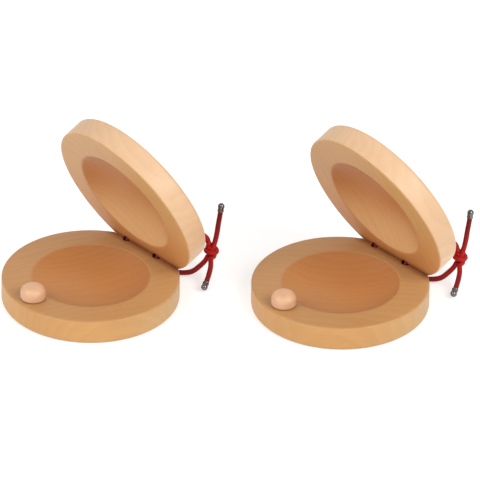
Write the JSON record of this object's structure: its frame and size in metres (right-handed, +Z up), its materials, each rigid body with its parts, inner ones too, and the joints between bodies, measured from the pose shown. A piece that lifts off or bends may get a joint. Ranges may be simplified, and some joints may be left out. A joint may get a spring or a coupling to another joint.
{
  "type": "castanets",
  "caption": "Round wooden finger castanets: hollowed turned shells that rock open and shut on a planed ridge, laced by a knotted elastic cord, with a turned striker knob.",
  "frame": {"origin": "middle of the wooden pieces' box, on the surface that the castanets lie on", "axes": "+X along the pair from the left castanet to the right one, +Y to the side away from the open mouths, +Z up"},
  "size_m": [0.1458, 0.065, 0.057],
  "materials": {
    "left_lower_shell": "satin varnished beech, turned",
    "left_upper_shell": "satin varnished beech, turned",
    "left_striker_knob": "satin sanded beech, turned",
    "left_lacing_cord": "dark red braided elastic",
    "left_knot": "dark red braided elastic",
    "left_upper_tail": "dark red braided elastic",
    "left_lower_tail": "dark red braided elastic",
    "left_upper_tip": "bright plated crimp",
    "left_lower_tip": "bright plated crimp",
    "right_lower_shell": "satin varnished beech, turned",
    "right_upper_shell": "satin varnished beech, turned",
    "right_striker_knob": "satin sanded beech, turned",
    "right_lacing_cord": "dark red braided elastic",
    "right_knot": "dark red braided elastic",
    "right_upper_tail": "dark red braided elastic",
    "right_lower_tail": "dark red braided elastic",
    "right_upper_tip": "bright plated crimp",
    "right_lower_tip": "bright plated crimp"
  },
  "bodies": {
    "left_lower": {"left_lower_shell": "left_lower_shell", "left_striker_knob": "left_striker_knob", "left_lacing_cord": "left_lacing_cord", "left_knot": "left_knot", "left_upper_tail": "left_upper_tail", "left_lower_tail": "left_lower_tail", "left_upper_tip": "left_upper_tip", "left_lower_tip": "left_lower_tip"},
    "left_upper": {"left_upper_shell": "left_upper_shell"},
    "right_lower": {"right_lower_shell": "right_lower_shell", "right_striker_knob": "right_striker_knob", "right_lacing_cord": "right_lacing_cord", "right_knot": "right_knot", "right_upper_tail": "right_upper_tail", "right_lower_tail": "right_lower_tail", "right_upper_tip": "right_upper_tip", "right_lower_tip": "right_lower_tip"},
    "right_upper": {"right_upper_shell": "right_upper_shell"}
  },
  "joints": [
    {"name": "left_shell_hinge", "type": "hinge", "parent": "left_lower", "child": "left_upper", "pos_m": [-0.02576, 0.01234, 0.0082], "axis": [0.673, -0.7396, 0], "range_deg": [0, 60.7], "stiffness_Nm_per_rad": 0.004, "springref_deg": -28.65, "deforming": ["left_lacing_cord"]},
    {"name": "right_shell_hinge", "type": "hinge", "parent": "right_lower", "child": "right_upper", "pos_m": [0.05124, 0.01014, 0.0082], "axis": [0.673, -0.7396, 0], "range_deg": [0, 60.7], "stiffness_Nm_per_rad": 0.004, "springref_deg": -28.65, "deforming": ["right_lacing_cord"]},
    {"name": "right_castanet_lift", "type": "slide", "parent": "left_lower", "child": "right_lower", "axis": [0, 0, 1], "range_m": [0, 0.1]}
  ]
}
